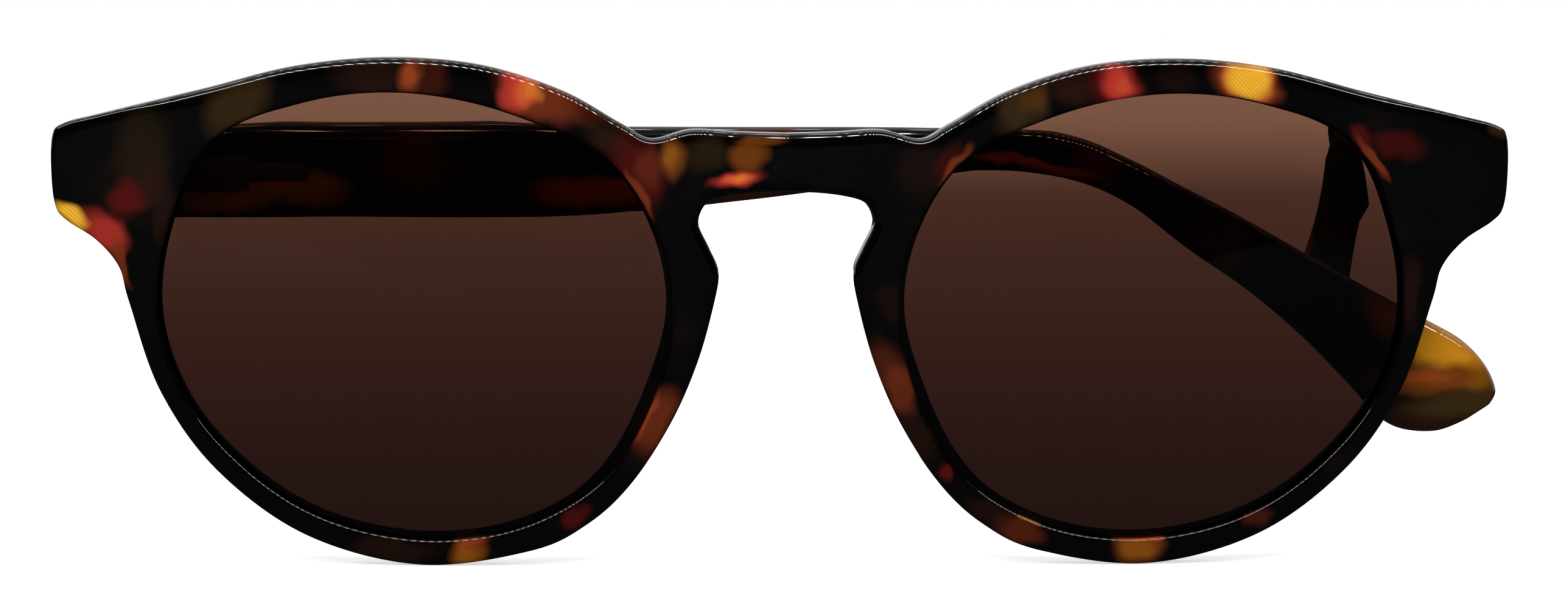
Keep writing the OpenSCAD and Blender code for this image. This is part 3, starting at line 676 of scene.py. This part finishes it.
LENS = tinted_lens()
for lens in lenses.values():
    lens.data.materials.append(LENS)
print("lens tint from", LENS_TINT_AND_SHADE[0][1], "at the foot to", LENS_TINT_AND_SHADE[-1][1], "at the top")

# %% [markdown]
# ## Hinge metal
# The leaf plates and spring housings are nickel silver, a little dark from handling. The screws,
# slides, nuts and springs are steel. Both are satin: fine scratches spread their highlights.

# %% Metals
def metal(made, tone, roughness, scratch):
    """Satin metal, whose fine scratches blur what it mirrors."""
    tree = new_tree(made)
    point = add(tree, "ShaderNodeTexCoord").outputs["Object"]
    # Scratches about 0.1 mm wide and 0.8 mm long, along the depth of the glasses
    grain = add(tree, "ShaderNodeMapping", None, {"Vector": point, "Scale": (9000, 1200, 9000)})
    noise = add(tree, "ShaderNodeTexNoise", None, {
        "Vector": grain.outputs["Vector"], "Scale": 1, "Detail": 2}).outputs["Fac"]
    bump = add(tree, "ShaderNodeBump", None, {
        "Height": noise, "Strength": scratch, "Distance": 0.00002}).outputs["Normal"]
    rough = add(tree, "ShaderNodeMapRange", None, {
        "Value": noise, "To Min": roughness - 0.06, "To Max": roughness + 0.08}).outputs["Result"]
    surface = add(tree, "ShaderNodeBsdfPrincipled", None, {
        "Base Color": linear(tone), "Metallic": 1, "Roughness": rough, "Normal": bump})
    add(tree, "ShaderNodeOutputMaterial", None, {"Surface": surface.outputs["BSDF"]})
    return made


metal(STEEL, "#b4b6b8", 0.28, 0.25)
NICKEL = metal(bpy.data.materials.new("nickel_silver"), "#8c8a84", 0.34, 0.35)
FINISHES = {"front_hinge": NICKEL, "hinge_housing": NICKEL, "spring_stop": NICKEL,
            "hinge_screw": STEEL, "hinge_slide": STEEL, "slide_nut": STEEL}
for name, node in nodes.items():
    kind = name.rsplit("_", 1)[0]
    if kind in FINISHES:
        node.data.materials.clear()
        node.data.materials.append(FINISHES[kind])
        print(name, "is", FINISHES[kind].name)

# %% [markdown]
# ## Hand each piece to the frame
# Every smooth piece stands for the plain solid of the same place and rides on its body, so that
# the temples fold and flex with what they carry. A flex spring sits between the nut on the slide
# and the stop in the temple. Its mesh is baked where its plain one stood and rides on no body.

# %% Riding and replacing
for piece, node, body, slot in (
        [(front, "frame_front", "front", "tortoiseshell_plastic")]
        + [(lenses[s], f"lens_{s}", "front", "tinted_lens") for s in PLACES]
        + [(temples[s], f"temple_{s}", f"{s}_temple", "tortoiseshell_plastic") for s in PLACES]):
    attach(piece, body)
    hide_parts(node)
    print(piece.name, "rides on", body)
for side, spring in springs.items():
    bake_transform(spring)
    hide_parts(f"flex_spring_{side}")

# %% [markdown]
# ## Floor, light and background
# The photograph is a plain studio shot on white. A pale floor carries the glasses and their
# shadow. A wide panel above draws the grey band along every upper edge, and two rows of small
# lamps just under it draw the lines of bright dashes: the curved edges shrink each lamp to a dot.

# %% Floor
FLOOR_Z = -0.0241
# Strength of the paper's glow to the eye, at the glasses and far away
GLOW_NEAR, GLOW_FAR = 0.65, 1
floor = bpy.data.objects.new("floor", bpy.data.meshes.new("floor"))
reach = 1.5
floor.data.from_pydata([(-reach, -reach, FLOOR_Z), (reach, -reach, FLOOR_Z),
                        (reach, reach, FLOOR_Z), (-reach, reach, FLOOR_Z)], [], [(0, 1, 2, 3)])
bpy.context.scene.collection.objects.link(floor)
pale = bpy.data.materials.new("white_paper")
tree = new_tree(pale)


def seen_white(tree):
    """Light path of a tree, and 1 where the eye looks straight at it or through a lens."""
    path = add(tree, "ShaderNodeLightPath").outputs
    direct = add(tree, "ShaderNodeMath", {"operation": "LESS_THAN"}, {
        0: path["Glossy Depth"], 1: 0.5}).outputs[0]
    through = add(tree, "ShaderNodeMath", {"operation": "MULTIPLY"}, {
        0: path["Is Transmission Ray"], 1: direct}).outputs[0]
    return path, add(tree, "ShaderNodeMath", {"operation": "MAXIMUM"}, {
        0: path["Is Camera Ray"], 1: through}).outputs[0]


path, seen = seen_white(tree)
# To the eye the paper glows a little more with distance, so that it runs out into the white
away = add(tree, "ShaderNodeVectorMath", {"operation": "LENGTH"}, {
    0: add(tree, "ShaderNodeTexCoord").outputs["Object"]}).outputs["Value"]
glow = add(tree, "ShaderNodeMapRange", None, {
    "Value": away, "From Min": 0.1, "From Max": 0.6,
    "To Min": GLOW_NEAR, "To Max": GLOW_FAR}).outputs["Result"]
strength = add(tree, "ShaderNodeMath", {"operation": "MULTIPLY"}, {0: seen, 1: glow}).outputs[0]
# In a polished edge it shows as a dark studio floor
tone = add(tree, "ShaderNodeMix", {"data_type": "RGBA"}, {
    0: path["Is Glossy Ray"], 6: linear("#f4f4f4"), 7: linear("#3a3a3a")}).outputs[2]
paper = add(tree, "ShaderNodeBsdfDiffuse", None, {"Color": tone}).outputs[0]
lit = add(tree, "ShaderNodeEmission", None, {"Strength": strength}).outputs[0]
both = add(tree, "ShaderNodeAddShader", None, {0: paper, 1: lit}).outputs[0]
add(tree, "ShaderNodeOutputMaterial", None, {"Surface": both})
floor.data.materials.append(pale)
print("floor", 2 * reach, "m wide at", round(1000 * FLOOR_Z, 1), "mm")

# %% World
# Strength of the dark room and of the white backdrop in a polished surface, and of plain light
DARK_ROOM, BACKDROP, PLAIN_LIGHT = 0.008, 0.6, 0.3
world = bpy.data.worlds.new("studio")
bpy.context.scene.world = world
tree = new_tree(world)
path, seen = seen_white(tree)
# A polished surface mirrors the dark room behind the camera, and the white backdrop only where
# it is seen edge on, which draws the thin light line round every outline
away = add(tree, "ShaderNodeSeparateXYZ", None, {
    "Vector": add(tree, "ShaderNodeTexCoord").outputs["Generated"]}).outputs["Y"]
mirrored = add(tree, "ShaderNodeMapRange", {"interpolation_type": "SMOOTHSTEP"}, {
    "Value": away, "From Min": 0.0, "From Max": 0.6, "To Min": DARK_ROOM, "To Max": BACKDROP})
room = add(tree, "ShaderNodeMix", {"data_type": "FLOAT"}, {
    0: path["Is Glossy Ray"], 2: PLAIN_LIGHT, 3: mirrored.outputs["Result"]}).outputs[0]
level = add(tree, "ShaderNodeMix", {"data_type": "FLOAT"}, {0: seen, 2: room, 3: 1}).outputs[0]
sky = add(tree, "ShaderNodeBackground", None, {"Color": (1, 1, 1, 1), "Strength": level})
add(tree, "ShaderNodeOutputWorld", None, {"Surface": sky.outputs[0]})
print("world nodes:", len(tree.nodes))


# %% Soft lights
def soft_light(name, place, aim, width, height, radiance, in_gloss=True):
    """Area light at a place in metres, turned to its aim."""
    light = bpy.data.lights.new(name, "AREA")
    light.shape, light.size, light.size_y = "RECTANGLE", width, height
    light.energy = radiance * math.pi * width * height
    made = bpy.data.objects.new(name, light)
    made.location = place
    made.rotation_euler = (Vector(aim) - Vector(place)).to_track_quat("-Z", "Y").to_euler()
    made.visible_glossy = in_gloss
    bpy.context.scene.collection.objects.link(made)
    print(name, round(light.energy, 2), "W")


soft_light("overhead_panel", (0, 0.02, 0.52), (0, 0.02, 0), width=1.5, height=0.76, radiance=0.2)
soft_light("front_fill", (-0.2, -1.0, 0.7), (0, 0, 0), width=1.2, height=0.9, radiance=4.0,
           in_gloss=False)


# %% Rows of lamps
# Half width of a pane, as a share of the distance from one pane to the next
PANE_HALF = 0.18


def lamp_row(name, y, z, count, pitch, length, radiance):
    """Row of small bright panes above the glasses, seen only in polished surfaces."""
    points, panes = [], []
    side = PANE_HALF * pitch
    for i in range(count):
        x = (i - (count - 1) / 2) * pitch
        first = len(points)
        points += [(x - side, y - length / 2, z), (x + side, y - length / 2, z),
                   (x + side, y + length / 2, z), (x - side, y + length / 2, z)]
        panes.append((first, first + 1, first + 2, first + 3))
    row = bpy.data.objects.new(name, bpy.data.meshes.new(name))
    row.data.from_pydata(points, [], panes)
    bpy.context.scene.collection.objects.link(row)
    lamp = bpy.data.materials.new(name)
    lamp.cycles.emission_sampling = "NONE"
    tree = new_tree(lamp)
    path = add(tree, "ShaderNodeLightPath").outputs
    power = add(tree, "ShaderNodeMath", {"operation": "MULTIPLY"}, {
        0: path["Is Glossy Ray"], 1: radiance}).outputs[0]
    glowing = add(tree, "ShaderNodeEmission", None, {"Strength": power}).outputs[0]
    add(tree, "ShaderNodeOutputMaterial", None, {"Surface": glowing})
    row.data.materials.append(lamp)
    row.visible_camera = row.visible_diffuse = row.visible_shadow = False
    row.visible_transmission = False
    print(name, count, "panes")


lamp_row("front_lamps", y=-0.19, z=0.5, count=80, pitch=0.015, length=0.07, radiance=40)
lamp_row("upper_lamps", y=0.22, z=0.5, count=80, pitch=0.015, length=0.04, radiance=12)

# %% [markdown]
# ## Camera
# The photograph looks at the front from just above, through a long lens, with the frame filling
# the picture.

# %% Camera
AIM, DISTANCE = Vector((-0.0004, -0.006, 0.00175)), 0.65
AZIMUTH, ELEVATION, ROLL = (math.radians(a) for a in (-3, 4, -0.2))
camera = bpy.data.objects.new("camera", bpy.data.cameras.new("camera"))
bpy.context.scene.collection.objects.link(camera)
camera.location = AIM + DISTANCE * Vector((
    math.cos(ELEVATION) * math.sin(AZIMUTH), -math.cos(ELEVATION) * math.cos(AZIMUTH),
    math.sin(ELEVATION)))
camera.rotation_euler = (math.pi / 2 - ELEVATION, ROLL, AZIMUTH)
camera.data.lens, camera.data.sensor_width = 153, 36
camera.data.clip_start, camera.data.clip_end = 0.01, 10
bpy.context.scene.camera = camera
bpy.context.scene.view_settings.view_transform = "Standard"
print("camera at", [round(v, 3) for v in camera.location], "m")
